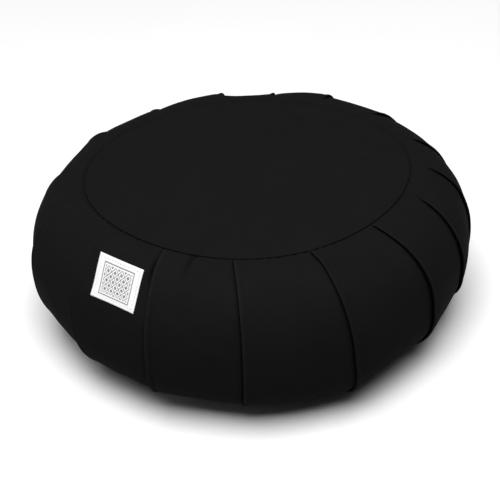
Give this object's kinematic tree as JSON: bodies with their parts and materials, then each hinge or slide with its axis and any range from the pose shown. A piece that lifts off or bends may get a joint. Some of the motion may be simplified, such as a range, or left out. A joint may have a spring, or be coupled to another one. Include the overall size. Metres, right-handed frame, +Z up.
{
  "type": "zafu meditation cushion",
  "caption": "Round, firm floor cushion with a knife-pleated side between two plain sewn discs and a small cloth label on the side.",
  "frame": {"origin": "on the floor, under the middle of the base", "axes": "+Z up out of the seat, the front towards -Y, +X to the right of someone who faces the front"},
  "size_m": [0.4022, 0.4022, 0.145],
  "materials": {
    "cover_cloth": "matt black cotton twill",
    "label_cloth": "white woven label cloth"
  },
  "bodies": {
    "root": {"pleated_side": "cover_cloth", "top_panel": "cover_cloth", "base_panel": "cover_cloth", "label": "label_cloth"}
  },
  "joints": []
}
